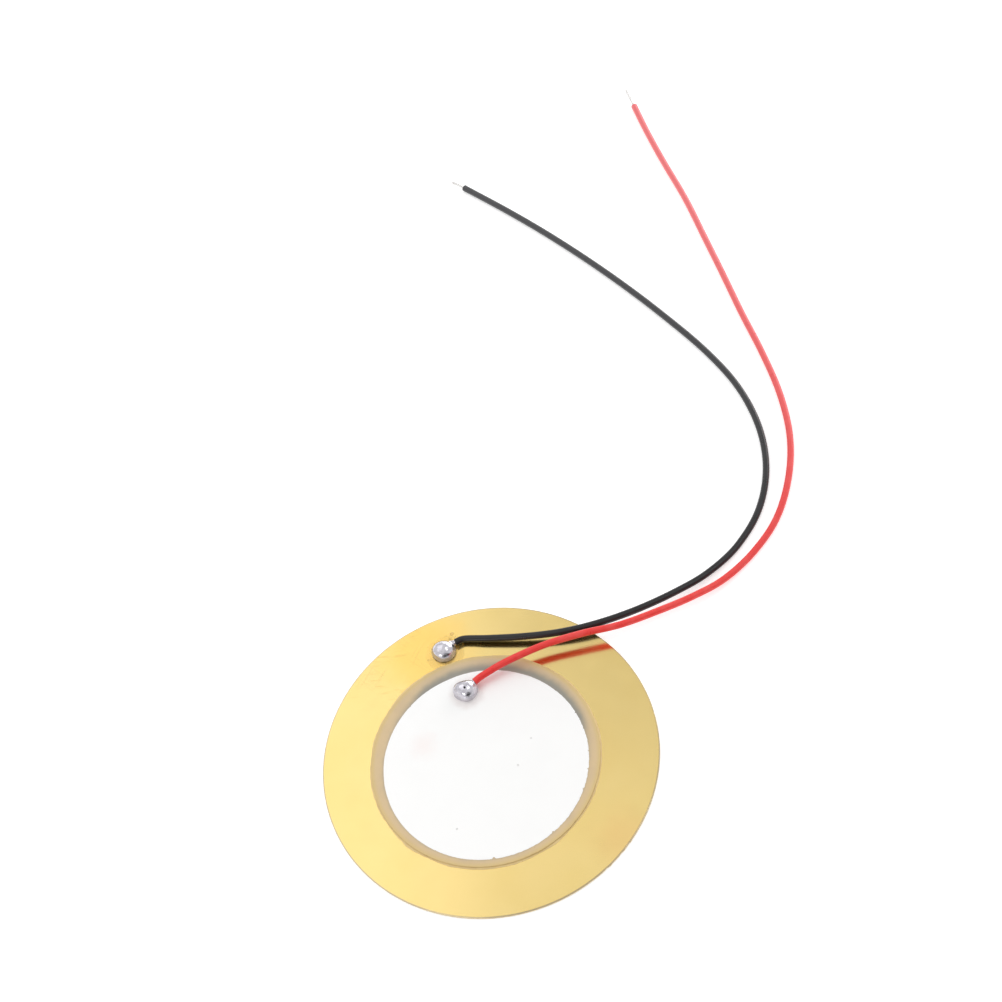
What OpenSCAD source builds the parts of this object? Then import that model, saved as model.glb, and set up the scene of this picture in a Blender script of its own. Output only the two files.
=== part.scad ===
// Piezo disc: a silvered ceramic bonded to a brass plate, with two soldered leads.
// The plate lies flat on z = 0 with its centre at the origin, and the leads run off towards +Y.

/* [Brass plate] */
// Diameter of the plate
plate_d = 35; // [30:0.5:50]
// Thickness of the plate
plate_t = 0.3; // [0.15:0.05:0.45]
// Small bevel left on both edges by the punch
plate_bevel = 0.04; // [0.01:0.01:0.06]

/* [Ceramic] */
// Diameter of the ceramic
ceramic_d = 23.8; // [16:0.1:29]
// Thickness of the ceramic
ceramic_t = 0.2; // [0.1:0.05:0.3]
// Ceramic's centre, to the right of the plate's centre
ceramic_x = -0.45; // [-1:0.05:1]
// Ceramic's centre, behind the plate's centre
ceramic_y = -0.35; // [-1:0.05:1]

/* [Bond] */
// Thickness of the glue line under the ceramic
bond_t = 0.02; // [0.01:0.01:0.05]
// How far the glue is squeezed out past the ceramic
bond_lip = 0.1; // [0.05:0.05:0.2]

/* [Electrodes] */
// Diameter of the silver print on the front
front_d = 21.2; // [14:0.1:28]
// Front print's centre, to the right of the ceramic's centre
front_x = 0.05; // [-0.5:0.05:0.5]
// Front print's centre, behind the ceramic's centre
front_y = -0.45; // [-0.5:0.05:0.5]
// Thickness of each silver print
silver_t = 0.015; // [0.01:0.005:0.03]

/* [Solder] */
// Width of the bead on the plate
plate_bead_w = 2.4; // [2:0.1:3]
// Height of the bead on the plate
plate_bead_h = 1.4; // [1.2:0.05:2]
// Direction of the plate's bead from the ceramic's centre
plate_bead_turn = 109; // [60:1:120]
// Space between the ceramic's edge and the plate's bead
plate_bead_gap = 0.3; // [0.2:0.05:0.6]
// Width of the bead on the front print
front_bead_w = 2.5; // [2:0.1:3]
// Height of the bead on the front print
front_bead_h = 1.35; // [1.2:0.05:2]
// Direction of the front bead from the print's centre
front_bead_turn = 104; // [60:1:120]
// Middle of the front bead, in from the print's edge
front_bead_inset = 2.3; // [1.6:0.1:4]
// Width of the solder collar where it leaves the bead
collar_root_d = 0.9; // [0.7:0.05:1]
// Width of the solder collar where it meets the insulation
collar_end_d = 0.6; // [0.55:0.05:0.7]

/* [Leads] */
// Outer diameter of the insulation
lead_d = 0.75; // [0.62:0.01:0.95]
// Diameter of the tinned conductor
strand_d = 0.34; // [0.2:0.01:0.45]
// Thickness of the tin on the bare tips
tin_t = 0.02; // [0.01:0.005:0.04]
// Bare length at the black lead's far end
black_bare = 2.2; // [1:0.1:6]
// Bare length at the red lead's far end
red_bare = 3.4; // [1:0.1:6]

/* [Hidden] */
$fn = 96;
lead_sides = 8;

ceramic_at = [ceramic_x, ceramic_y];
front_at = ceramic_at + [front_x, front_y];

// heights of the stack, from the plate up
bond_z = plate_t;
back_z = bond_z + bond_t;
ceramic_z = back_z + silver_t;
front_z = ceramic_z + ceramic_t;
front_top = front_z + silver_t;

// where each bead stands
plate_bead_reach = ceramic_d / 2 + plate_bead_gap + plate_bead_w / 2;
plate_bead_xy = ceramic_at + plate_bead_reach * [cos(plate_bead_turn), sin(plate_bead_turn)];
plate_bead_at = [plate_bead_xy.x, plate_bead_xy.y, plate_t];
front_bead_reach = front_d / 2 - front_bead_inset;
front_bead_xy = front_at + front_bead_reach * [cos(front_bead_turn), sin(front_bead_turn)];
front_bead_at = [front_bead_xy.x, front_bead_xy.y, front_top];

// each lead starts straight: from inside its bead, past the end of its insulation at the second point
black_start = [[0.22, 0.66, 0.5], [1.2, 0.98, 0.5], [2.18, 1.3, 0.5]];
red_start = [[0.1, 0.35, 0.6], [0.95, 0.95, 0.7], [1.8, 1.55, 0.8]];

// then it rises over the rim and comes down to lie on the surface, its middle half a lead up
lying = lead_d / 2;
black_run = [
    [0, 13.4, 0.95], [4, 13.23, 1.15], [7.97, 13.36, 1.38], [11.96, 14.08, 1.52], [15.96, 15.46, 1.35],
    [19.99, 17.47, 0.95], [23.5, 19.7, 0.6], [26.8, 22.9, lying], [29.4, 27.2, lying],
    [30.6, 32.5, lying], [30.2, 38.2, lying], [28.2, 44, lying], [24.9, 49.3, lying],
    [20.8, 54.4, lying], [16.4, 59.4, lying], [11.6, 64.4, lying], [6.6, 69.2, lying],
    [1.6, 73.6, lying], [-3.4, 77.7, lying]
];
red_run = [
    [2, 10.15, 1.6], [6, 11.6, 1.95], [10, 12.5, 2.2], [14, 13.25, 2.15], [18, 14.85, 1.65],
    [21.8, 16.7, 1.05], [25.2, 18.8, 0.6], [28.5, 22, lying], [31.2, 25.9, lying],
    [32.9, 31, lying], [33.5, 36.6, lying], [32.8, 42.6, lying], [31.2, 48.6, lying],
    [29.3, 54.4, lying], [27.5, 60.4, lying], [25.6, 66.5, lying], [23.7, 72.6, lying],
    [21.5, 78.4, lying], [19.6, 83.8, lying], [18.1, 88.6, lying]
];

// point halfway between b and c on the smooth curve through a, b, c and d, and no lower than b and c
function halfway(a, b, c, d) =
    let (mid = (9 * (b + c) - a - d) / 16)
    [mid.x, mid.y, max(mid.z, min(b.z, c.z))];

// the route with a halfway point after each one, apart from the straight start
function flowing(points) =
    let (last = len(points) - 1, beyond = 2 * points[last] - points[last - 1])
    [
        points[0],
        points[1],
        for (i = [2 : last - 1])
            let (after = i + 2 > last ? beyond : points[i + 2])
            each [points[i], halfway(points[i - 1], points[i], points[i + 1], after)],
        points[last]
    ];

function lead_route(bead_at, start, run) = flowing(concat([for (p = start) bead_at + p], run));

function heading(route, i) =
    let (way = route[min(i + 1, len(route) - 1)] - route[max(i - 1, 0)])
    way / norm(way);

// corners of the ring at route point i, square to the route and with one corner straight down
function ring(route, i, radius) =
    let (
        way = heading(route, i),
        across = cross([0, 0, 1], way) / norm(cross([0, 0, 1], way)),
        up = cross(way, across)
    )
    [
        for (k = [0 : lead_sides - 1])
            let (turn = k * 360 / lead_sides)
            route[i] + radius * (cos(turn) * across + sin(turn) * up)
    ];

function rings(route, radius) = [for (i = [0 : len(route) - 1]) each ring(route, i, radius)];

// triangles between the rings of a swept wall whose first corner is number base
function wall_faces(rows, base, inward) = [
    for (i = [0 : rows - 2], k = [0 : lead_sides - 1])
        let (
            next = (k + 1) % lead_sides,
            a = base + i * lead_sides + k,
            b = base + i * lead_sides + next,
            c = b + lead_sides,
            d = a + lead_sides
        )
        each inward ? [[a, b, c], [a, c, d]] : [[a, d, c], [a, c, b]]
];

// flat end between an outer ring and an inner one
function lip_faces(outer, inner, flip) = [
    for (k = [0 : lead_sides - 1])
        let (next = (k + 1) % lead_sides)
        each flip
            ? [[outer + k, inner + k, inner + next], [outer + k, inner + next, outer + next]]
            : [[outer + k, outer + next, inner + next], [outer + k, inner + next, inner + k]]
];

// solid bar swept along a route
module swept_bar(route, radius) {
    last = (len(route) - 1) * lead_sides;
    polyhedron(
        points = rings(route, radius),
        faces = concat(
            wall_faces(len(route), 0, false),
            [for (k = [1 : lead_sides - 2]) [0, k, k + 1]],
            [for (k = [1 : lead_sides - 2]) [last, last + k + 1, last + k]]
        )
    );
}

// open tube swept along a route
module swept_tube(route, outer_r, inner_r) {
    inner = len(route) * lead_sides;
    last = (len(route) - 1) * lead_sides;
    polyhedron(
        points = concat(rings(route, outer_r), rings(route, inner_r)),
        faces = concat(
            wall_faces(len(route), 0, false),
            wall_faces(len(route), inner, true),
            lip_faces(0, inner, false),
            lip_faces(last, inner + last, true)
        )
    );
}

// puts children at a point with their +Z along a direction
module aim(at, way) {
    translate(at) rotate([0, acos(way.z), atan2(way.y, way.x)]) children();
}

module flat_disc(at, z, d, t) {
    translate([at.x, at.y, z]) cylinder(h = t, d = d);
}

// bead of solder, a ball cut off at the surface that it wets
module bead(at, w, h) {
    intersection() {
        translate(at + [0, 0, h - w / 2]) sphere(d = w);
        translate(at - [w, w, 0]) cube(2 * w);
    }
}

// bead with its collar up to the insulation, and the hole that the conductor fills
module solder_joint(at, w, h, route) {
    collar_len = norm(route[1] - route[0]);
    difference() {
        union() {
            bead(at, w, h);
            aim(route[0], heading(route, 0))
                cylinder(h = collar_len, d1 = collar_root_d, d2 = collar_end_d);
        }
        swept_bar([route[0], route[2]], strand_d / 2);
    }
}

// conductor in its insulation, and the round tinned tip beyond it
module conductor(route, bare) {
    last = len(route) - 1;
    swept_bar(route, strand_d / 2);
    aim(route[last], heading(route, last)) cylinder(h = bare, d = strand_d + 2 * tin_t);
}

// the insulation starts at the route's second point
module insulation(route) {
    whole = [for (i = [1 : len(route) - 1]) route[i]];
    swept_tube(whole, lead_d / 2, strand_d / 2);
}

black_route = lead_route(plate_bead_at, black_start, black_run);
red_route = lead_route(front_bead_at, red_start, red_run);

module brass_plate() {
    rim = plate_d / 2;
    color("#e8cb87") rotate_extrude() polygon([
        [0, 0],
        [rim - plate_bevel, 0],
        [rim, plate_bevel],
        [rim, plate_t - plate_bevel],
        [rim - plate_bevel, plate_t],
        [0, plate_t]
    ]);
}

module adhesive_film() {
    color("#a3875a") flat_disc(ceramic_at, bond_z, ceramic_d + 2 * bond_lip, bond_t);
}

module back_electrode() {
    color("#d9d9d6") flat_disc(ceramic_at, back_z, ceramic_d, silver_t);
}

module ceramic_disc() {
    color("#cdb998") flat_disc(ceramic_at, ceramic_z, ceramic_d, ceramic_t);
}

module front_electrode() {
    color("#f2f1ee") flat_disc(front_at, front_z, front_d, silver_t);
}

module plate_solder() {
    color("#b9b9c0") solder_joint(plate_bead_at, plate_bead_w, plate_bead_h, black_route);
}

module electrode_solder() {
    color("#b9b9c0") solder_joint(front_bead_at, front_bead_w, front_bead_h, red_route);
}

module black_conductor() {
    color("#c9c7c4") conductor(black_route, black_bare);
}

module black_insulation() {
    color("#26232a") insulation(black_route);
}

module red_conductor() {
    color("#c9c7c4") conductor(red_route, red_bare);
}

module red_insulation() {
    color("#e23a3a") insulation(red_route);
}

brass_plate();
adhesive_film();
back_electrode();
ceramic_disc();
front_electrode();
plate_solder();
electrode_solder();
black_conductor();
black_insulation();
red_conductor();
red_insulation();
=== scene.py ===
import math

import bmesh
import bpy
from mathutils import Matrix, Vector, noise


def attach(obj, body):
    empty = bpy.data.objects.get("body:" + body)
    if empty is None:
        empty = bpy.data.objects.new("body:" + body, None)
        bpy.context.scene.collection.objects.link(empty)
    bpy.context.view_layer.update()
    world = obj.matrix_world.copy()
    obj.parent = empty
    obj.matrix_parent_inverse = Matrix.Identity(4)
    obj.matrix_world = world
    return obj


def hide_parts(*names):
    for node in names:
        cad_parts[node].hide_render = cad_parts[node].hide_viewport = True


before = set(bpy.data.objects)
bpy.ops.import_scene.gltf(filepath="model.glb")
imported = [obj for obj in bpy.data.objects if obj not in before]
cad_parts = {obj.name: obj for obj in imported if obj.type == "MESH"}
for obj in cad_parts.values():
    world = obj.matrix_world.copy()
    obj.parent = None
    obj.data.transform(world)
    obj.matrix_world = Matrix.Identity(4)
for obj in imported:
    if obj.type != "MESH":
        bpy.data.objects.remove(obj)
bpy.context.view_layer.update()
scene = bpy.context.scene
scene.view_settings.view_transform = "Standard"
mm = 0.001

# camera

cameraView = {
    "place": (0.02794, -0.08975, 0.18499),
    "target": (0.001125, 0.03127, 0.0),
    "roll": -14.93,
    "lens": 71.856,
    "sensor": 36,
    "sees": (0.01, 10),  # nearest and farthest distance drawn
}


def placeCamera(view):
    data = bpy.data.cameras.new("studioCamera")
    data.lens = view["lens"]
    data.sensor_width = view["sensor"]
    data.clip_start, data.clip_end = view["sees"]
    camera = bpy.data.objects.new("studioCamera", data)
    scene.collection.objects.link(camera)
    place = Vector(view["place"])
    look = (Vector(view["target"]) - place).to_track_quat("-Z", "Y").to_matrix().to_4x4()
    camera.matrix_world = Matrix.Translation(place) @ look @ Matrix.Rotation(math.radians(view["roll"]), 4, "Z")
    scene.camera = camera
    print("camera looks along", [round(x, 4) for x in -camera.matrix_world.col[2].xyz])


placeCamera(cameraView)


# small mesh and node helpers


def meshPiece(name, bm):
    bmesh.ops.recalc_face_normals(bm, faces=bm.faces)
    mesh = bpy.data.meshes.new(name)
    bm.to_mesh(mesh)
    bm.free()
    mesh.transform(Matrix.Scale(mm, 4))  # shapes are drawn in millimetres
    mesh.shade_smooth()
    piece = bpy.data.objects.new(name, mesh)
    scene.collection.objects.link(piece)
    return piece


def keepSharp(piece, angle):
    piece.data.set_sharp_from_angle(angle=math.radians(angle))


def addNode(tree, kind, feeds=None, **settings):
    made = tree.nodes.new(kind)
    for key, value in settings.items():
        setattr(made, key, value)
    for key, value in (feeds or {}).items():
        if isinstance(value, bpy.types.NodeSocket):
            tree.links.new(value, made.inputs[key])
        else:
            made.inputs[key].default_value = value
    return made


def calc(tree, operation, a, b, clamp=False):
    return addNode(tree, "ShaderNodeMath", {0: a, 1: b}, operation=operation, use_clamp=clamp).outputs[0]


def times(tree, a, b):
    return calc(tree, "MULTIPLY", a, b)


def blendColour(tree, factor, a, b):
    return addNode(tree, "ShaderNodeMix", {0: factor, 6: a, 7: b}, data_type="RGBA").outputs[2]


def remap(tree, value, low, high, outLow=0.0, outHigh=1.0, kind="SMOOTHSTEP"):
    feeds = {"Value": value, "From Min": low, "From Max": high, "To Min": outLow, "To Max": outHigh}
    return addNode(tree, "ShaderNodeMapRange", feeds, interpolation_type=kind).outputs[0]


# leads: their routes in metres, as laid on the bench

lying = 0.000375

blackLead = {
    "name": "blackLead",
    "route": [
        (-0.0045926, 0.0129799, 0.0008), (-0.0036126, 0.0132999, 0.0008), (-0.0026326, 0.0136199, 0.0008),
        (0.0, 0.0134, 0.00095), (0.004, 0.01323, 0.00115), (0.00797, 0.01336, 0.00138),
        (0.01196, 0.01408, 0.00152), (0.01596, 0.01546, 0.00135), (0.01999, 0.01747, 0.00095),
        (0.0235, 0.0197, 0.0006), (0.0268, 0.0229, lying), (0.0294, 0.0272, lying),
        (0.0306, 0.0325, lying), (0.0302, 0.0382, lying), (0.0282, 0.044, lying),
        (0.0249, 0.0493, lying), (0.0208, 0.0544, lying), (0.0164, 0.0594, lying),
        (0.0116, 0.0644, lying), (0.0066, 0.0692, lying), (0.0016, 0.0736, lying),
        (-0.0034, 0.0777, lying),
    ],
    "length": 0.1022,
    "bareTip": 0.0022,
    "heading": (-0.776114, 0.630593, 0.0),
    "strandsName": "blackLeadStrands",
    "replaces": ("black_insulation", "black_conductor"),
    "slot": "black_insulation",
    "seed": 3.0,
}

redLead = {
    "name": "redLead",
    "route": [
        (-0.002308, 0.0076035, 0.00115), (-0.001458, 0.0082035, 0.00125), (-0.000608, 0.0088035, 0.00135),
        (0.002, 0.01015, 0.0016), (0.006, 0.0116, 0.00195), (0.010, 0.0125, 0.0022),
        (0.014, 0.01325, 0.00215), (0.018, 0.01485, 0.00165), (0.0218, 0.0167, 0.00105),
        (0.0252, 0.0188, 0.0006), (0.0285, 0.022, lying), (0.0312, 0.0259, lying),
        (0.0329, 0.031, lying), (0.0335, 0.0366, lying), (0.0328, 0.0426, lying),
        (0.0312, 0.0486, lying), (0.0293, 0.0544, lying), (0.0275, 0.0604, lying),
        (0.0256, 0.0665, lying), (0.0237, 0.0726, lying), (0.0215, 0.0784, lying),
        (0.0196, 0.0838, lying), (0.0181, 0.0886, lying),
    ],
    "length": 0.1038,
    "bareTip": 0.0034,
    "heading": (-0.293375, 0.955997, 0.0),
    "strandsName": "redLeadStrands",
    "replaces": ("red_insulation", "red_conductor"),
    "slot": "red_insulation",
    "seed": 8.0,
}

leadMake = {
    "diameter": 0.00075,
    "bore": 0.00036,
    "sides": 28,
    "stepsPerSpan": 12,
    "relax": 8,  # rounds of smoothing for the part on the bench
    "wobble": 0.012,  # this, the flattening, the swelling and the cut marks are shares of the radius
    "wobbleScale": 160,
    "flattened": 0.018,
    "flattenedScale": 0.4,
    "endSwell": 0.035,
    "swellFade": 0.6,
    "cutMarks": (0.02, 0.015),
    "lip": 0.00007,
    "lipFlare": 1.03,
    "dish": 0.00002,  # the cut face sinks by this at each step
    "bundle": 0.00034,
    "packing": 0.98,
    "strandSides": 8,
    "strandTurn": 0.0052,  # one full twist of the strands
    "tipSteps": 24,
    "droop": (0.11, 0.00017),  # as a share of the bare tip, and the most it may be
    "unevenCut": 0.00022,
    "fanLength": 0.0012,
    "fanOut": 0.42,
}


def smoothRoute(points, steps):
    # a cubic through the points; the first span is straight, and nothing dips under its own span
    line = []
    for i in range(len(points) - 1):
        a, b = Vector(points[i]), Vector(points[i + 1])
        before = Vector(points[i - 1]) if i else a
        after = Vector(points[i + 2]) if i + 2 < len(points) else b
        handleA = a + (b - before) / 6
        handleB = b - (after - a) / 6
        low = min(a.z, b.z)
        handleA.z, handleB.z = max(handleA.z, low), max(handleB.z, low)
        if i == 0:
            handleA, handleB = a.lerp(b, 1 / 3), a.lerp(b, 2 / 3)
        for k in range(steps):
            t = k / steps
            u = 1 - t
            line.append(a * u**3 + handleA * 3 * u * u * t + handleB * 3 * u * t * t + b * t**3)
    line.append(Vector(points[-1]))
    settled = next(i for i, p in enumerate(points) if i > 2 and p[2] == lying) * steps
    for _ in range(leadMake["relax"]):  # the part on the bench takes its bends evenly
        kept = [p.copy() for p in line]
        for k in range(settled + 1, len(line) - 1):
            line[k] = (kept[k - 1] + kept[k] * 2 + kept[k + 1]) / 4
    return line


def travelFrames(line):
    # a frame carried along the line without twisting
    frames = []
    side = None
    for i, here in enumerate(line):
        forward = (line[min(i + 1, len(line) - 1)] - line[max(i - 1, 0)]).normalized()
        if side is None:
            side = forward.cross(Vector((0, 0, 1))).normalized()
        else:
            side = (side - forward * side.dot(forward)).normalized()
        frames.append((here, side, forward.cross(side).normalized(), forward))
    return frames


def ring(bm, frameHere, radius, sides, turn=0.0):
    here, side, up, forward = frameHere
    made = []
    for k in range(sides):
        angle = math.tau * k / sides + turn
        r = radius(angle) if callable(radius) else radius
        made.append(bm.verts.new((here + (side * math.cos(angle) + up * math.sin(angle)) * r) / mm))
    return made


def bridge(bm, a, b):
    for k in range(len(a)):
        n = (k + 1) % len(a)
        bm.faces.new((a[k], a[n], b[n], b[k]))


def quarterTurn(steps):
    return [math.pi / 2 * k / steps for k in range(steps + 1)]


def insulationTube(lead):
    # the sleeve is a real tube: outer skin, rolled lips where it was cut, and the bore
    line = smoothRoute(lead["route"], leadMake["stepsPerSpan"])[leadMake["stepsPerSpan"] :]
    frames = travelFrames(line)
    radius, bore, lip = leadMake["diameter"] / 2, leadMake["bore"] / 2, leadMake["lip"]
    sides, seed = leadMake["sides"], lead["seed"]
    last = len(frames) - 1
    bm = bmesh.new()

    def skin(i):
        place = frames[i][0] * leadMake["wobbleScale"]
        wobble = 1 + leadMake["wobble"] * noise.noise(place + Vector((seed, 0, 0)))
        swell = 1 + leadMake["endSwell"] * math.exp(-min(i, last - i) * leadMake["swellFade"])
        flat = leadMake["flattened"] * noise.noise(place * leadMake["flattenedScale"] + Vector((0, seed, 0)))
        return lambda angle: radius * wobble * swell * (1 + flat * math.cos(2 * angle))

    def cutEnd(frameEnd, outward):
        here, side, up, forward = frameEnd
        size, away = radius * leadMake["lipFlare"], forward * outward
        three, seven = leadMake["cutMarks"]
        made = []
        for turn in quarterTurn(4):
            r = size - lip * (1 - math.cos(turn))
            marked = lambda a, r=r: r * (1 + three * math.sin(3 * a + seed) + seven * math.sin(7 * a))
            made.append(ring(bm, (here + away * lip * math.sin(turn), side, up, forward), marked, sides))
        faceSteps = 3
        for k in range(1, faceSteps + 1):  # cut face, then into the bore
            r = size - lip + (bore - size + lip) * k / faceSteps
            made.append(ring(bm, (here + away * (lip - leadMake["dish"] * k), side, up, forward), r, sides))
        return made

    start, finish = cutEnd(frames[0], -1), cutEnd(frames[last], 1)
    rings = start[::-1] + [ring(bm, frames[i], skin(i), sides) for i in range(1, last)] + finish
    rings += [ring(bm, frames[i], bore, sides) for i in range(last - 1, 0, -1)]
    for a, b in zip(rings, rings[1:] + rings[:1]):
        bridge(bm, a, b)
    piece = meshPiece(lead["name"], bm)
    keepSharp(piece, 60)
    return piece, line


def strandBundle(lead):
    # seven tinned strands twisted round each other, fanning a little where they are cut
    line = smoothRoute(lead["route"], leadMake["stepsPerSpan"] * 2)
    heading, tip = Vector(lead["heading"]).normalized(), lead["bareTip"]
    droop, mostDroop = leadMake["droop"]
    for k in range(1, leadMake["tipSteps"] + 1):
        t = k / leadMake["tipSteps"]
        sunk = Vector((0, 0, -min(droop * tip * t * t, mostDroop)))
        line.append(Vector(lead["route"][-1]) + heading * tip * t + sunk)
    frames = travelFrames(line)
    along = [0.0]
    for a, b in zip(line, line[1:]):
        along.append(along[-1] + (b - a).length)
    total = along[-1]
    strand = leadMake["bundle"] / 6
    bm = bmesh.new()
    for s in range(7):
        cutAt = total - leadMake["unevenCut"] * abs(math.sin(2.1 * s + lead["seed"]))
        flare = leadMake["fanOut"] * (0.4 + 0.6 * math.sin(s * 2.4) ** 2)
        rings = []
        for (here, side, up, forward), gone in zip(frames, along):
            if gone > cutAt:
                break
            angle = math.tau * (gone / leadMake["strandTurn"] + s / 6)
            fan = max(0.0, 1 - (total - gone) / leadMake["fanLength"]) ** 2
            out = 0 if s == 6 else 2 * strand * (leadMake["packing"] + flare * fan)  # the last is the core
            moved = here + (side * math.cos(angle) + up * math.sin(angle)) * out
            rings.append(ring(bm, (moved, side, up, forward), strand, leadMake["strandSides"]))
        for a, b in zip(rings, rings[1:]):
            bridge(bm, a, b)
        bm.faces.new(rings[0])
        bm.faces.new(rings[-1])
    piece = meshPiece(lead["strandsName"], bm)
    keepSharp(piece, 50)
    return piece


leadPieces = {}
for lead in (blackLead, redLead):
    tube, line = insulationTube(lead)
    strands = strandBundle(lead)
    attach(tube, "root")
    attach(strands, "root")
    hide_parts(lead["replaces"][0])
    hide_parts(lead["replaces"][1])
    leadPieces[lead["name"]] = (tube, strands)
    print(lead["name"], "measures", round(sum((b - a).length for a, b in zip(line, line[1:])), 4), "m")

# shader node groups shared by several finishes


def newGroup(name, inputs, outputs):
    tree = bpy.data.node_groups.new(name, "ShaderNodeTree")
    kinds = {"f": "NodeSocketFloat", "v": "NodeSocketVector"}
    for label, kind, value in inputs:
        tree.interface.new_socket(label, in_out="INPUT", socket_type=kinds[kind]).default_value = value
    for label, kind in outputs:
        tree.interface.new_socket(label, in_out="OUTPUT", socket_type=kinds[kind])
    given = tree.nodes.new("NodeGroupInput").outputs
    result = tree.nodes.new("NodeGroupOutput").inputs
    return tree, given, result


def millimetres(tree):
    place = addNode(tree, "ShaderNodeTexCoord").outputs["Object"]
    return addNode(tree, "ShaderNodeVectorMath", {0: place, 3: 1000.0}, operation="SCALE").outputs[0]


def makeGrain():
    # soft lumps of one size: height for bump, and a mask
    tree, given, result = newGroup(
        "fineGrain",
        [("Size", "f", 0.2), ("Detail", "f", 3.0), ("Stretch", "v", (1, 1, 1)),
         ("Low", "f", 0.35), ("High", "f", 0.65)],
        [("Height", "f"), ("Mask", "f")],
    )
    place = addNode(tree, "ShaderNodeVectorMath", {0: millimetres(tree), 1: given["Stretch"]}, operation="MULTIPLY")
    scale = calc(tree, "DIVIDE", 1.0, given["Size"])
    feeds = {"Vector": place.outputs[0], "Scale": scale, "Detail": given["Detail"]}
    lumps = addNode(tree, "ShaderNodeTexNoise", feeds).outputs[0]
    tree.links.new(lumps, result["Height"])
    tree.links.new(remap(tree, lumps, given["Low"], given["High"]), result["Mask"])
    return tree


def makeSpot():
    # a round patch about a centre, with a ragged and soft edge
    tree, given, result = newGroup(
        "roundPatch",
        [("Centre", "v", (0, 0, 0)), ("Radius", "f", 1.0), ("Soft", "f", 0.3),
         ("Ragged", "f", 0.0), ("Ragged Size", "f", 0.5)],
        [("Mask", "f"), ("Distance", "f")],
    )
    place = millimetres(tree)
    scale = calc(tree, "DIVIDE", 1.0, given["Ragged Size"])
    lumps = addNode(tree, "ShaderNodeTexNoise", {"Vector": place, "Scale": scale, "Detail": 3.0})
    flat = addNode(tree, "ShaderNodeVectorMath", {0: place, 1: (1, 1, 0)}, operation="MULTIPLY").outputs[0]
    away = addNode(tree, "ShaderNodeVectorMath", {0: flat, 1: given["Centre"]}, operation="DISTANCE").outputs[1]
    shift = times(tree, calc(tree, "SUBTRACT", lumps.outputs[0], 0.5), given["Ragged"])
    distance = calc(tree, "ADD", away, shift)
    edge = calc(tree, "DIVIDE", calc(tree, "SUBTRACT", given["Radius"], distance), given["Soft"])
    tree.links.new(remap(tree, edge, -1.0, 1.0), result["Mask"])
    tree.links.new(distance, result["Distance"])
    return tree


def makeScratches():
    # thin straight lines in one direction, broken up into short runs
    tree, given, result = newGroup(
        "hairScratches",
        [("Angle", "f", 0.5), ("Spacing", "f", 0.1), ("Length", "f", 6.0), ("Start", "f", 0.7)],
        [("Mask", "f")],
    )
    turned = addNode(tree, "ShaderNodeVectorRotate", {"Vector": millimetres(tree), "Angle": given["Angle"]},
                     rotation_type="Z_AXIS").outputs[0]
    across = calc(tree, "DIVIDE", 1.0, given["Spacing"])
    alongLine = calc(tree, "DIVIDE", 1.0, given["Length"])
    stretch = addNode(tree, "ShaderNodeCombineXYZ", {0: across, 1: alongLine, 2: 1.0}).outputs[0]
    place = addNode(tree, "ShaderNodeVectorMath", {0: turned, 1: stretch}, operation="MULTIPLY").outputs[0]
    lines = addNode(tree, "ShaderNodeTexNoise", {"Vector": place, "Scale": 1.0, "Detail": 0.0}).outputs[0]
    full = calc(tree, "ADD", given["Start"], 0.07)  # a line fades in over this much of the noise
    tree.links.new(remap(tree, lines, given["Start"], full), result["Mask"])
    return tree


def makeSpecks():
    # scattered dots, some cells left empty
    tree, given, result = newGroup(
        "strayDust",
        [("Spacing", "f", 1.0), ("Dot", "f", 0.12), ("Fill", "f", 0.3)],
        [("Mask", "f")],
    )
    scale = calc(tree, "DIVIDE", 1.0, given["Spacing"])
    cells = addNode(tree, "ShaderNodeTexVoronoi", {"Vector": millimetres(tree), "Scale": scale})
    dot = remap(tree, cells.outputs["Distance"], 0.0, given["Dot"], 1.0, 0.0)
    chance = addNode(tree, "ShaderNodeSeparateColor", {0: cells.outputs["Color"]}).outputs[0]
    tree.links.new(times(tree, dot, calc(tree, "LESS_THAN", chance, given["Fill"])), result["Mask"])
    return tree


fineGrain, roundPatch, hairScratches, strayDust = makeGrain(), makeSpot(), makeScratches(), makeSpecks()
print("node groups are ready")


def useGroup(tree, group, **values):
    feeds = {key.replace("_", " "): value for key, value in values.items()}
    return addNode(tree, "ShaderNodeGroup", feeds, node_tree=group).outputs


def patchAt(tree, spot, **edge):
    return useGroup(tree, roundPatch, Centre=spot[0], Radius=spot[1], **edge)


def newFinish(name, **plain):
    finish = bpy.data.materials.new(name)
    finish.use_nodes = True
    shader = finish.node_tree.nodes["Principled BSDF"]
    for key, value in plain.items():
        shader.inputs[key.replace("_", " ")].default_value = value
    return finish, finish.node_tree, shader


def feed(tree, shader, **sockets):
    for key, socket in sockets.items():
        tree.links.new(socket, shader.inputs[key.replace("_", " ")])


def relief(tree, height, depth):
    return addNode(tree, "ShaderNodeBump", {"Height": height, "Distance": depth, "Strength": 1.0}).outputs[0]


def tint(tree, mask, tone, look):
    share, colour = look
    return blendColour(tree, times(tree, mask, share), tone, colour)


def byLumps(tree, grain, ends):
    # a value that follows a grain's height, which is nearly all between 0.3 and 0.7
    return remap(tree, grain["Height"], 0.3, 0.7, *ends, "LINEAR")


def wear(piece, finish):
    piece.data.materials.clear()
    piece.data.materials.append(finish)


# leads' finishes

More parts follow.
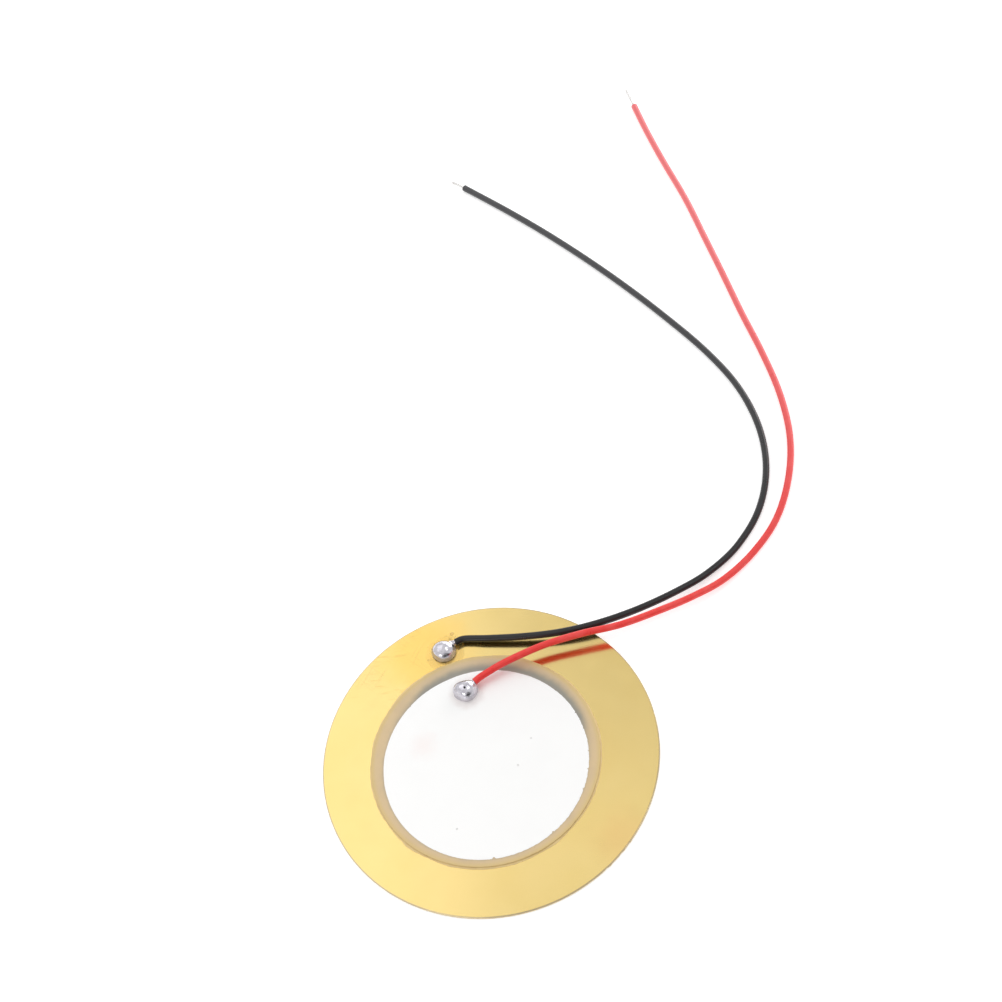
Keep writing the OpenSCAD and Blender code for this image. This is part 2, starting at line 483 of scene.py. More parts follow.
blackPvc = {
    "name": "blackPvcSleeve",
    "gleam": 0.5,
    "colour": (0.004, 0.003, 0.004, 1),
    "worn": (0.009, 0.008, 0.010, 1),
    "dust": (0.5, (0.32, 0.31, 0.30, 1)),  # share and colour
    # painted light: a lighter colour on the far part of the sleeve, standing in for flare
    "flaredFar": (0.060, 0.060, 0.064, 1),
}
redPvc = {
    "name": "redPvcSleeve",
    "gleam": 0.42,
    "colour": (0.85, 0.042, 0.037, 1),
    "worn": (0.88, 0.078, 0.070, 1),
    "dust": (0.5, (0.9, 0.55, 0.5, 1)),
    # painted light: a pinker colour on the far part of the sleeve, standing in for flare
    "flaredFar": (0.88, 0.19, 0.20, 1),
}
pvcMake = {
    "fades": (6.0, 80.0),  # the painted flare of light grows from here to there, along Y in millimetres
    "rough": (0.25, 0.39),
    "rubbedRough": 0.12,
    "rubbedDepth": 0.4,
    "relief": 0.000007,
}


def pvcFinish(look, make):
    finish, tree, shader = newFinish(look["name"], Specular_IOR_Level=look["gleam"], IOR=1.5)
    shade = useGroup(tree, fineGrain, Size=1.6, Detail=4.0, Low=0.4, High=0.75)
    rubbed = useGroup(tree, hairScratches, Angle=1.1, Spacing=0.12, Length=2.5, Start=0.66)
    dust = useGroup(tree, strayDust, Spacing=0.45, Dot=0.1, Fill=0.22)
    skin = blendColour(tree, shade["Mask"], look["colour"], look["worn"])
    skin = tint(tree, dust["Mask"], skin, look["dust"])
    # painted light: the far part of the sleeve is lightened along Y, a painted haze of flare
    along = addNode(tree, "ShaderNodeSeparateXYZ", {0: millimetres(tree)}).outputs["Y"]
    skin = blendColour(tree, remap(tree, along, *make["fades"]), skin, look["flaredFar"])
    peel = useGroup(tree, fineGrain, Size=0.09, Detail=2.0)
    rough = calc(tree, "ADD", byLumps(tree, shade, make["rough"]), times(tree, rubbed["Mask"], make["rubbedRough"]))
    height = calc(tree, "SUBTRACT", peel["Height"], times(tree, rubbed["Mask"], make["rubbedDepth"]))
    feed(tree, shader, Base_Color=skin, Roughness=rough, Normal=relief(tree, height, make["relief"]))
    return finish


strandLook = {
    "bright": (0.93, 0.92, 0.91, 1),
    "dull": (0.74, 0.72, 0.70, 1),
    "rough": (0.22, 0.42),
    "relief": 0.000006,
}


def strandFinish(look):
    finish, tree, shader = newFinish("tinnedStrand", Metallic=1.0)
    streak = useGroup(tree, fineGrain, Size=0.12, Detail=3.0, Low=0.35, High=0.7)
    tone = blendColour(tree, streak["Mask"], look["bright"], look["dull"])
    rough = byLumps(tree, streak, look["rough"])
    feed(tree, shader, Base_Color=tone, Roughness=rough, Normal=relief(tree, streak["Height"], look["relief"]))
    return finish


tinned = strandFinish(strandLook)
for (tube, strands), look in zip(leadPieces.values(), (blackPvc, redPvc)):
    wear(tube, pvcFinish(look, pvcMake))
    wear(strands, tinned)
print("leads are finished")

# turned sheet pieces


def turnedPiece(name, profile, sides, centre, edit):
    # profile runs from the axis on top, over the edge, back to the axis below, in millimetres
    bm = bmesh.new()
    rings = []
    for r, z in profile:
        if r == 0:
            rings.append([bm.verts.new((centre[0], centre[1], z))])
            continue
        made = []
        for k in range(sides):
            angle = math.tau * k / sides
            rr, zz = edit(angle, r, z)
            made.append(bm.verts.new((centre[0] + rr * math.cos(angle), centre[1] + rr * math.sin(angle), zz)))
        rings.append(made)
    for a, b in zip(rings, rings[1:]):
        if len(a) == 1 or len(b) == 1:
            tip, loop = (a[0], b) if len(a) == 1 else (b[0], a)
            for k in range(sides):
                bm.faces.new((tip, loop[k], loop[(k + 1) % sides]))
        else:
            bridge(bm, a, b)
    return meshPiece(name, bm)


def angleGap(a, b):
    return abs((a - b + math.pi) % math.tau - math.pi)


def ringNoise(angle, size, seed):
    return noise.noise(Vector((math.cos(angle) * size, math.sin(angle) * size, seed)))


def markDepth(angle, marks, power=1):
    # how deep the small marks cut at this angle
    depth = 0.0
    for degrees, half, push in marks:
        near = angleGap(angle, math.radians(degrees)) / math.radians(half)
        if near < 1:
            depth += push * (1 - near * near) ** power
    return depth


brassPlate = {
    "radius": 17.5,
    "thickness": 0.3,
    "roll": 0.07,  # rounded edge on the punched side
    "bottomRoll": 0.03,
    "wave": 0.0015,
    "waveScale": 0.12,
    "waveFrom": (12.3, 1.5),  # the plate is flat under the ceramic, and waves beyond it
    "rimFrom": 17.0,
    "rimUneven": 0.008,
    "sides": 420,
    "topRings": (1, 3, 5, 7, 9, 11, 12.2, 13.2, 14, 14.8, 15.5, 16.1, 16.6, 17.0, 17.2, 17.32),
    "wallHeights": (0.16, 0.1),
    "underRings": (17.3, 16.5, 14, 10, 5),
    # degrees, half width in degrees, outwards in millimetres
    "nicks": [(-35.9, 0.45, 0.05), (-37.0, 0.5, -0.05), (-39.7, 0.5, 0.06), (-41.2, 0.6, -0.04),
              (-46.6, 0.6, 0.09), (-48.2, 0.8, -0.05), (12.0, 0.5, -0.02), (71.0, 0.7, -0.02),
              (155.0, 0.5, -0.03), (-128.0, 0.9, -0.02)],
}


def makePlate(plate):
    radius, top, roll, low = plate["radius"], plate["thickness"], plate["roll"], plate["bottomRoll"]
    profile = [(0, top)] + [(r, top) for r in plate["topRings"]]
    for turn in quarterTurn(6):
        profile.append((radius - roll + roll * math.sin(turn), top - roll + roll * math.cos(turn)))
    profile += [(radius, z) for z in plate["wallHeights"]]
    for turn in quarterTurn(4):
        profile.append((radius - low + low * math.cos(turn), low - low * math.sin(turn)))
    profile += [(r, 0.0) for r in plate["underRings"]] + [(0, 0.0)]
    flatTo, waveOver = plate["waveFrom"]

    def edit(angle, r, z):
        rim = max(0.0, (r - plate["rimFrom"]) / (radius - plate["rimFrom"]))
        out = plate["rimUneven"] * ringNoise(angle, 30, 2.0) * rim + markDepth(angle, plate["nicks"], 2) * rim
        if z > 0.2:  # rolled sheet is never quite flat
            calm = min(1.0, max(0.0, (r - flatTo) / waveOver))
            spot = Vector((r * math.cos(angle) * plate["waveScale"], r * math.sin(angle) * plate["waveScale"], 5.0))
            z += plate["wave"] * calm * noise.noise(spot)
        return r + out, z

    return turnedPiece("brassDisc", profile, plate["sides"], (0.0, 0.0), edit)


ceramicPlate = {
    "radius": 11.9,
    "low": 0.335,
    "high": 0.535,
    "centre": (-0.45, -0.35),
    "sides": 400,
    "chamfer": 0.03,
    "topRings": (3, 6, 8, 9.6, 10.3, 10.8, 11.2, 11.5, 11.7, 11.8),
    # the edge in chamfers: in from the radius, and down from the top
    "edge": ((1.2, 0), (0.5, 0.25), (0.1, 0.8), (0, 1.6)),
    "wallHeight": 0.44,
    "underRings": (11, 8, 4),
    "chipFrom": 11.75,
    "chip": (0.28, 0.16),  # how rare the chips are, and how deep
    "crumble": 0.006,
}


def makeCeramic(disc):
    radius, low, high, edge = disc["radius"], disc["low"], disc["high"], disc["chamfer"]
    profile = [(0, high)] + [(r, high) for r in disc["topRings"]]
    profile += [(radius - edge * across, high - edge * down) for across, down in disc["edge"]]
    profile += [(radius, disc["wallHeight"]), (radius, low + edge), (radius - edge * 0.3, low + edge * 0.3)]
    profile += [(radius - edge, low)] + [(r, low) for r in disc["underRings"]] + [(0, low)]
    rare, deep = disc["chip"]

    def edit(angle, r, z):
        if r > disc["chipFrom"]:
            chip = max(0.0, ringNoise(angle, 26, 4.0) - rare) * deep
            share = 1 if z > 0.46 else 0.25  # the lower edge is held by the glue
            r -= (chip + disc["crumble"] * abs(ringNoise(angle, 60, 9.0))) * share
        return r, z

    return turnedPiece("ceramicWafer", profile, disc["sides"], disc["centre"], edit)


glueBead = {
    "radius": 11.9,
    "out": 0.16,
    "up": 0.075,
    "low": 0.3,
    "high": 0.32,
    "sides": 400,
    "topRings": (5, 9, 11.3, 11.7),
    "underRings": (11, 6),
    "filletSteps": 8,
    "filletHollow": 2.2,
    "uneven": ((0.75, 5, 1.5), (0.35, 22, 6.0)),  # share, how fine, seed
    "least": (0.25, 0.2),  # outwards and upwards, as shares of the full bead
}


def makeGlue(glue):
    radius, low, high, steps = glue["radius"], glue["low"], glue["high"], glue["filletSteps"]
    profile = [(0, high)] + [(r, high) for r in glue["topRings"]] + [(radius + 0.004, high)]
    for k in range(steps + 1):
        t = k / steps
        profile.append((radius + 0.006 + glue["out"] * t, high + glue["up"] * (1 - t) ** glue["filletHollow"]))
    profile += [(radius + glue["out"], low)] + [(r, low) for r in glue["underRings"]] + [(0, low)]
    leastOut, leastUp = glue["least"]

    def edit(angle, r, z):
        if r > radius + 0.005:
            across = (r - radius) / glue["out"]
            size = 1 + sum(share * ringNoise(angle, fine, seed) for share, fine, seed in glue["uneven"])
            r = radius + (r - radius) * max(leastOut, size)
            if z > high:
                z = high + (z - high) * max(leastUp, 0.6 + 0.48 * size * (1 - across))
        return r, z

    return turnedPiece("glueSqueeze", profile, glue["sides"], ceramicPlate["centre"], edit)


silverPrint = {
    "radius": 10.6,
    "low": 0.535,
    "high": 0.55,
    "centre": (-0.40, -0.80),
    "sides": 720,
    "drift": 0.048,  # the print ran a little to one side
    "driftTowards": -70.0,
    "roughTowards": -5.0,
    "topRings": (2, 4, 6, 8, 9, 9.6, 10, 10.25, 10.4, 10.5, 10.55),
    "edge": ((0.015, 0.002), (0.003, 0.007)),  # in from the radius, and down from the top
    "underRings": (10.4, 8, 4),
    "edgeFrom": 9.9,
    "meshMarks": ((0.030, 40, 3.0), (0.022, 90, 7.0)),  # millimetres, how fine, seed
    "waver": (0.03, 4, 2.0),
    # degrees, half width in degrees, inwards in millimetres
    "bites": [(-85.2, 0.9, 0.22), (-49.9, 0.7, 0.18), (-20.0, 0.6, 0.10), (-8.0, 0.5, 0.12), (3.0, 0.5, 0.10),
              (17.0, 0.6, 0.08), (28.0, 0.5, 0.11), (139.0, 0.5, 0.07), (-118.0, 0.5, 0.06)],
}


def makePrint(film):
    radius, low, high = film["radius"], film["low"], film["high"]
    profile = [(0, high)] + [(r, high) for r in film["topRings"]]
    profile += [(radius - across, high - down) for across, down in film["edge"]]
    profile += [(radius, low)] + [(r, low) for r in film["underRings"]] + [(0, low)]
    waver, waverFine, waverSeed = film["waver"]

    def edit(angle, r, z):
        if r > film["edgeFrom"]:
            share = (r - film["edgeFrom"]) / (radius - film["edgeFrom"])
            ragged = 0.45 + 1.2 * (0.5 + 0.5 * math.cos(angle - math.radians(film["roughTowards"]))) ** 2
            out = ragged * sum(size * ringNoise(angle, fine, seed) for size, fine, seed in film["meshMarks"])
            out += waver * ringNoise(angle, waverFine, waverSeed) - markDepth(angle, film["bites"])
            out += film["drift"] * (1 + math.cos(angle - math.radians(film["driftTowards"])))
            r += out * share
        return r, z

    return turnedPiece("silverPrintFront", profile, film["sides"], film["centre"], edit)


discPiece = makePlate(brassPlate)
ceramicPiece = makeCeramic(ceramicPlate)
gluePiece = makeGlue(glueBead)
printPiece = makePrint(silverPrint)
turnedPieces = (
    (discPiece, "brass_plate", "brass"),
    (ceramicPiece, "ceramic_disc", "ceramic"),
    (gluePiece, "adhesive_film", "adhesive"),
    (printPiece, "front_electrode", "silver_print"),
)
for piece, node, slotName in turnedPieces:
    keepSharp(piece, 55)
    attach(piece, "root")
    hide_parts(node)
print("sheet pieces are turned")

# solder beads

plateBead = {
    "name": "plateJoint",
    "replaces": "plate_solder",
    "stand": (-4.8126, 12.3199, 0.3),
    "width": 2.4,
    "height": 1.4,
    "wireStart": (0.22, 0.66, 0.5),
    "wireEnd": (1.20, 0.98, 0.5),
    "lean": 0.02,
    "spread": (1.10, 1.0),
    "shift": (-0.15, 0.10),
    # painted shade: a dark brown band at the joint's foot
    "footShade": (0.055, 0.045, 0.04, 1),
    "haze": 1.0,
    "pinhole": None,
    "seed": 1.7,
}
printBead = {
    "name": "printJoint",
    "replaces": "electrode_solder",
    "stand": (-2.4080, 7.2535, 0.55),
    "width": 2.5,
    "height": 1.35,
    "wireStart": (0.1, 0.35, 0.6),
    "wireEnd": (0.95, 0.95, 0.7),
    "lean": 0.07,
    "spread": (1.05, 0.92),
    "shift": (-0.14, 0.20),
    # painted shade: a grey band at the joint's foot
    "footShade": (0.42, 0.41, 0.44, 1),
    "haze": 0.3,
    "pinhole": (-0.04, 0.02),
    "seed": 6.1,
}
beadMake = {
    "voxel": 0.05,
    "rootRadius": 0.46,
    "endRadius": 0.27,
    "skirt": 0.08,
    "skirtHeight": 0.05,
    "sunk": 0.4,  # the skirt goes this far under the foot before it is cut off there
    "softening": (0.5, 9),
    "lumps": ((0.020, 1.4), (0.006, 4.5)),  # height and how fine
    "pin": (0.16, 0.17),  # radius and depth of a pinhole
}


def makeBead(bead):
    # drawn in millimetres about its own foot, fused, rounded off, then set down
    half, centreZ = bead["width"] / 2, bead["height"] - bead["width"] / 2
    bm = bmesh.new()
    bmesh.ops.create_icosphere(bm, subdivisions=4, radius=half, matrix=Matrix.Translation((0, 0, centreZ)))
    wire = math.atan2(bead["wireEnd"][1], bead["wireEnd"][0])
    for v in bm.verts:  # the molten ball leans towards its wire
        angle = math.atan2(v.co.y, v.co.x) - wire
        v.co.xy *= 1 + bead["lean"] * (0.5 * math.cos(angle) + math.cos(3 * angle))
        v.co.x = v.co.x * bead["spread"][0] + bead["shift"][0]
        v.co.y = v.co.y * bead["spread"][1] + bead["shift"][1]
    a, b = Vector(bead["wireStart"]), Vector(bead["wireEnd"])
    alongWire = Matrix.Translation((a + b) / 2) @ (b - a).to_track_quat("Z", "Y").to_matrix().to_4x4()
    bmesh.ops.create_cone(bm, cap_ends=True, segments=32, radius1=beadMake["rootRadius"],
                          radius2=beadMake["endRadius"], depth=(b - a).length, matrix=alongWire)
    foot = math.sqrt(half**2 - centreZ**2)
    rise, sunk = beadMake["skirtHeight"], beadMake["sunk"]
    underBall = Matrix.Translation((*bead["shift"], (rise - sunk) / 2)) @ Matrix.Diagonal((*bead["spread"], 1, 1))
    bmesh.ops.create_cone(bm, cap_ends=True, segments=64, radius1=foot + beadMake["skirt"], radius2=foot - 0.02,
                          depth=rise + sunk, matrix=underBall)
    rough = bpy.data.meshes.new("beadRough")
    bm.to_mesh(rough)
    bm.free()
    blank = bpy.data.objects.new("beadBlank", rough)
    scene.collection.objects.link(blank)
    fuse = blank.modifiers.new("fuse", "REMESH")
    fuse.mode, fuse.voxel_size = "VOXEL", beadMake["voxel"]
    soften = blank.modifiers.new("soften", "SMOOTH")
    soften.factor, soften.iterations = beadMake["softening"]
    fine = blank.modifiers.new("fine", "SUBSURF")
    fine.levels = fine.render_levels = 1
    bpy.context.view_layer.update()
    bm = bmesh.new()
    bm.from_object(blank, bpy.context.evaluated_depsgraph_get())
    bpy.data.objects.remove(blank)
    pinRadius, pinDepth = beadMake["pin"]
    (large, largeScale), (small, smallScale) = beadMake["lumps"]
    for v in bm.verts:
        place = v.co * largeScale + Vector((bead["seed"], 0, 0))
        v.co += v.co.normalized() * (large * noise.noise(place) + small * noise.noise(place * smallScale))
        if bead["pinhole"]:
            off = (v.co.xy - Vector(bead["pinhole"])).length
            if v.co.z > 0.5 and off < pinRadius:
                v.co.z -= pinDepth * (1 - (off / pinRadius) ** 2) ** 2
    cut = bmesh.ops.bisect_plane(bm, geom=bm.verts[:] + bm.edges[:] + bm.faces[:], plane_co=(0, 0, 0),
                                 plane_no=(0, 0, 1), clear_inner=True)
    bmesh.ops.edgeloop_fill(bm, edges=[e for e in cut["geom_cut"] if isinstance(e, bmesh.types.BMEdge)])
    bmesh.ops.triangulate(bm, faces=[f for f in bm.faces if len(f.verts) > 4])
    bmesh.ops.translate(bm, verts=bm.verts, vec=bead["stand"])
    piece = meshPiece(bead["name"], bm)
    keepSharp(piece, 70)
    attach(piece, "root")
    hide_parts(bead["replaces"])
    return piece


beadPieces = [makeBead(plateBead), makeBead(printBead)]
print("solder joints are formed", [[round(x * 1000, 2) for x in piece.dimensions] for piece in beadPieces])

# flux left round the plate joint

fluxResidue = {
    "centre": plateBead["stand"][:2],
    "radius": 2.15,
    "floor": plateBead["stand"][2],
    "skin": 0.012,
    "climb": 0.11,
    "steps": 14,
    "sides": 160,
    "clear": 0.0005,  # off the brass, so that the two don't share a face
    "uneven": ((0.32, 1.4, 3.3), (0.10, 5, 8.0)),  # millimetres, how fine, seed
    # x, y, radius and height of one drop and a few bubbles
    "drops": [(-4.15, 14.62, 0.24, 0.06), (-6.35, 12.9, 0.08, 0.03), (-5.3, 10.75, 0.07, 0.03),
              (-3.35, 11.25, 0.10, 0.04), (-3.75, 14.25, 0.07, 0.03), (-6.05, 13.6, 0.06, 0.025)],
}


def makeFlux(flux):
    radius, floor, under = flux["radius"], flux["floor"], flux["floor"] + flux["clear"]
    inner = plateBead["width"] / 2 + 0.02
    profile = [(0, floor + 0.01), (inner - 0.3, floor + 0.01)]
    for k in range(flux["steps"] + 1):
        t = k / flux["steps"]
        height = flux["skin"] * (1 - t**3) + flux["climb"] * (1 - t) ** 7
        profile.append((inner + (radius - inner) * t, floor + max(height, 0.002)))
    profile += [(radius, under), (inner, under), (0, under)]

    def edit(angle, r, z):
        share = max(0.0, (r - inner) / (radius - inner))
        return r + share * sum(size * ringNoise(angle, fine, seed) for size, fine, seed in flux["uneven"]), z

    film = turnedPiece("fluxFilm", profile, flux["sides"], flux["centre"], edit)
    bm = bmesh.new()
    for x, y, size, height in flux["drops"]:
        made = bmesh.ops.create_icosphere(bm, subdivisions=3, radius=1.0)
        for v in made["verts"]:
            v.co = Vector((x + v.co.x * size, y + v.co.y * size * 0.9, floor + 0.006 + max(v.co.z, 0) * height))
    drops = meshPiece("fluxDrops", bm)
    for piece in (film, drops):
        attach(piece, "root")
    return film, drops


fluxPieces = makeFlux(fluxResidue)
print("flux is laid")

# finishes of the disc: a tint is its share and its colour, a spot is its centre and its radius

brassLook = {
    "pale": (0.885, 0.678, 0.276, 1),
    "deep": (0.870, 0.660, 0.258, 1),
    "heated": (0.62, (0.92, 0.58, 0.13, 1)),
    "heatedSpot": ((-7.0, 12.6, 0.0), 4.4),
    "coppery": (0.28, (0.86, 0.50, 0.20, 1)),
    "copperySpot": ((13.4, -9.9, 0.0), 2.4),
    # painted shade: the outermost band of the rim is darkened, standing in for its side wall in shade
    "shadedRim": (0.72, (0.46, 0.39, 0.29, 1)),
    "shadedRimBand": (17.34, 17.44),
    "scratched": (0.66, 0.47, 0.15, 1),
    "scuffedSpot": ((-9.5, 11.5, 0.0), 5.0),
    "hairs": (0.12, 1.0),  # how strong they are off the scuffed spot, and on it
    "scuffs": (0.03, 0.42),
    "hairTint": 0.3,
    "hairRough": 0.12,
    "hairDepth": 0.5,
    "rolledDepth": 0.35,
    "rough": (0.165, 0.195),
    "relief": 0.0000012,
}


def brassFinish(look):
    finish, tree, shader = newFinish("rolledBrass", Metallic=1.0)
    cloud = useGroup(tree, fineGrain, Size=7.0, Detail=3.0, Low=0.35, High=0.68)
    tone = blendColour(tree, cloud["Mask"], look["pale"], look["deep"])
    heat = patchAt(tree, look["heatedSpot"], Soft=2.6, Ragged=3.0, Ragged_Size=2.2)
    tone = tint(tree, heat["Mask"], tone, look["heated"])
    warm = patchAt(tree, look["copperySpot"], Soft=2.2, Ragged=2.0, Ragged_Size=2.0)
    tone = tint(tree, warm["Mask"], tone, look["coppery"])
    # painted shade along the rim of the plate
    middle = patchAt(tree, ((0, 0, 0), brassPlate["radius"]), Ragged=0.05, Ragged_Size=0.8)
    tone = tint(tree, remap(tree, middle["Distance"], *look["shadedRimBand"]), tone, look["shadedRim"])
    scuffed = patchAt(tree, look["scuffedSpot"], Soft=3.0, Ragged=5.0, Ragged_Size=4.0)["Mask"]
    hairA = useGroup(tree, hairScratches, Angle=0.5, Spacing=0.07, Length=5.0, Start=0.74)
    hairB = useGroup(tree, hairScratches, Angle=-0.9, Spacing=0.06, Length=3.5, Start=0.75)
    hair = times(tree, calc(tree, "MAXIMUM", hairA["Mask"], hairB["Mask"]),
                 remap(tree, scuffed, 0.0, 1.0, *look["hairs"], "LINEAR"))
    scuffs = useGroup(tree, fineGrain, Size=0.55, Detail=4.0, Stretch=(0.28, 1.5, 1.0), Low=0.54, High=0.70)
    dulled = times(tree, scuffs["Mask"], remap(tree, scuffed, 0.0, 1.0, *look["scuffs"], "LINEAR"))
    marked = calc(tree, "MAXIMUM", dulled, times(tree, hair, look["hairTint"]))
    tone = blendColour(tree, marked, tone, look["scratched"])
    smear = useGroup(tree, fineGrain, Size=3.0, Detail=4.0, Low=0.42, High=0.7)
    rough = calc(tree, "ADD", remap(tree, smear["Mask"], 0.0, 1.0, *look["rough"], "LINEAR"),
                 times(tree, hair, look["hairRough"]))
    rolled = useGroup(tree, fineGrain, Size=0.25, Detail=4.0, Stretch=(1.0, 0.08, 1.0))
    height = calc(tree, "SUBTRACT", times(tree, rolled["Height"], look["rolledDepth"]),
                  times(tree, hair, look["hairDepth"]))
    feed(tree, shader, Base_Color=tone, Roughness=rough, Normal=relief(tree, height, look["relief"]))
    return finish


ceramicLook = {
    "sand": (0.71, 0.53, 0.30, 1),
    "mottled": (0.35, (0.57, 0.44, 0.29, 1)),
    "grey": (0.250, 0.250, 0.218, 1),
    "greyShares": (0.10, 1.0),  # off the greyer spot towards +Y, and on it
    "greyBand": (10.25, 11.3),  # the bands are distances from the middle of the print or wafer
    # greyer over a broad spot towards +Y
    "upperGreyed": (0.22, (0.46, 0.40, 0.30, 1)),
    "upperGreyedSpot": ((2.6, 12.5, 0.0), 11.6),
    "upperGreyedReach": 0.55,
    # painted shade: a dark line on the ceramic along the print's edge
    "printEdgeShade": (0.3, (0.34, 0.31, 0.27, 1)),
    "printEdgeShadeBand": (10.66, 10.9),
    "edge": (0.75, (0.71, 0.52, 0.20, 1)),
    "edgeBand": (11.3, 11.86),
    "pit": (0.4, (0.30, 0.25, 0.18, 1)),
    "pitDepth": 0.8,
    "rough": (0.36, 0.52),
    "relief": 0.000004,
}


def ceramicFinish(look):
    finish, tree, shader = newFinish("firedCeramic", IOR=1.6)
    shade = useGroup(tree, fineGrain, Size=2.2, Detail=5.0, Low=0.38, High=0.72)
    tone = tint(tree, shade["Mask"], look["sand"], look["mottled"])
    # the wafer is greyer towards +Y, and greyer next to the print's edge
    upperGrey = patchAt(tree, look["upperGreyedSpot"], Soft=5.5, Ragged=3.0, Ragged_Size=2.0)["Mask"]
    band = patchAt(tree, ((*silverPrint["centre"], 0.0), 11.0), Ragged=0.35, Ragged_Size=0.9)["Distance"]
    reach = calc(tree, "SUBTRACT", band, times(tree, upperGrey, look["upperGreyedReach"]))
    fromPrint = remap(tree, reach, *look["greyBand"], 1.0, 0.0)
    inner = times(tree, remap(tree, upperGrey, 0.0, 0.6, *look["greyShares"], "LINEAR"), fromPrint)
    tone = blendColour(tree, inner, tone, look["grey"])
    tone = tint(tree, upperGrey, tone, look["upperGreyed"])
    # painted shade: a dark line along the print's edge
    printEdgeShadeShare, printEdgeShadeColour = look["printEdgeShade"]
    tone = blendColour(tree, remap(tree, band, *look["printEdgeShadeBand"], printEdgeShadeShare, 0.0), tone, printEdgeShadeColour)
    wafer = patchAt(tree, ((*ceramicPlate["centre"], 0.0), ceramicPlate["radius"]), Ragged=0.1, Ragged_Size=0.6)
    tone = tint(tree, remap(tree, wafer["Distance"], *look["edgeBand"]), tone, look["edge"])
    pits = useGroup(tree, strayDust, Spacing=0.5, Dot=0.14, Fill=0.25)
    tone = tint(tree, pits["Mask"], tone, look["pit"])
    grain = useGroup(tree, fineGrain, Size=0.07, Detail=3.0)
    height = calc(tree, "SUBTRACT", grain["Height"], times(tree, pits["Mask"], look["pitDepth"]))
    rough = byLumps(tree, shade, look["rough"])
    feed(tree, shader, Base_Color=tone, Roughness=rough, Normal=relief(tree, height, look["relief"]))
    return finish


glueLook = {
    "pale": (0.80, 0.59, 0.28, 1),
    "warm": (0.86, 0.66, 0.32, 1),
    "rough": (0.4, 0.6),
    "relief": 0.00001,
}


def glueFinish(look):
    finish, tree, shader = newFinish("glueEdge", IOR=1.5)
    shade = useGroup(tree, fineGrain, Size=0.9, Detail=3.0, Low=0.4, High=0.7)
    tone = blendColour(tree, shade["Mask"], look["pale"], look["warm"])
    rough = byLumps(tree, shade, look["rough"])
    feed(tree, shader, Base_Color=tone, Roughness=rough, Normal=relief(tree, shade["Height"], look["relief"]))
    return finish


silverLook = {
    "bright": (1.0, 0.998, 0.99, 1),
    "clouded": (0.5, (0.98, 0.976, 0.968, 1)),
    # painted shade with pink bounce light round the print's solder joint
    "jointShade": (0.35, (0.72, 0.60, 0.58, 1)),
    "jointShadeSpot": ((*printBead["stand"][:2], 0.0), 1.75),
    "stain": (0.22, (0.93, 0.72, 0.68, 1)),
    "stainSpot": ((-6.85, 1.46, 0.0), 1.0),
    "speck": (0.5, (0.42, 0.40, 0.38, 1)),
    "speckSpots": (((-3.27, -8.02, 0.0), 0.10), ((4.32, 1.58, 0.0), 0.09),
                   ((2.96, -1.37, 0.0), 0.10), ((2.80, 9.48, 0.0), 0.11)),
    "dust": (0.35, (0.55, 0.53, 0.50, 1)),
    "rough": (0.46, 0.58),
    "relief": 0.000004,
}


def silverFinish(name, look, marked):
    # only the front print is marked, the back one is hidden
    finish, tree, shader = newFinish(name, Metallic=0.6)
    cloud = useGroup(tree, fineGrain, Size=3.5, Detail=4.0, Low=0.4, High=0.75)
    tone = tint(tree, cloud["Mask"], look["bright"], look["clouded"])
    if marked:
        # painted shade and pink bounce light round the solder joint
        jointShade = patchAt(tree, look["jointShadeSpot"], Soft=0.5, Ragged=0.7, Ragged_Size=0.7)
        tone = tint(tree, jointShade["Mask"], tone, look["jointShade"])
        stain = patchAt(tree, look["stainSpot"], Soft=1.3, Ragged=2.0, Ragged_Size=1.2)
        tone = tint(tree, stain["Mask"], tone, look["stain"])
        for spot in look["speckSpots"]:
            speck = patchAt(tree, spot, Soft=0.08, Ragged=0.2, Ragged_Size=0.15)
            tone = tint(tree, speck["Mask"], tone, look["speck"])
    dust = useGroup(tree, strayDust, Spacing=1.7, Dot=0.05, Fill=0.3)
    tone = tint(tree, dust["Mask"], tone, look["dust"])
    weave = useGroup(tree, fineGrain, Size=0.16, Detail=2.0)
    rough = byLumps(tree, weave, look["rough"])
    feed(tree, shader, Base_Color=tone, Roughness=rough, Normal=relief(tree, weave["Height"], look["relief"]))
    return finish


solderLook = {
    "bright": (0.76, 0.74, 0.80, 1),
    "dull": (0.62, 0.60, 0.66, 1),
    # painted shade: the pinhole is coloured near black
    "hole": (0.05, 0.05, 0.06, 1),
    "holeRadius": 0.10,
    "hazed": (0.58, 0.56, 0.60, 1),
    "hazeBand": (0.30, 1.05),  # both bands are heights over the bead's foot
    # painted shade: the foot band is darkened
    "footShadeBand": (0.16, 0.34),
    "ragged": 0.25,
    "rough": (0.15, 0.25),
    "hazeRough": 0.18,
    "hazeDull": 0.45,
    "relief": 0.000004,
}


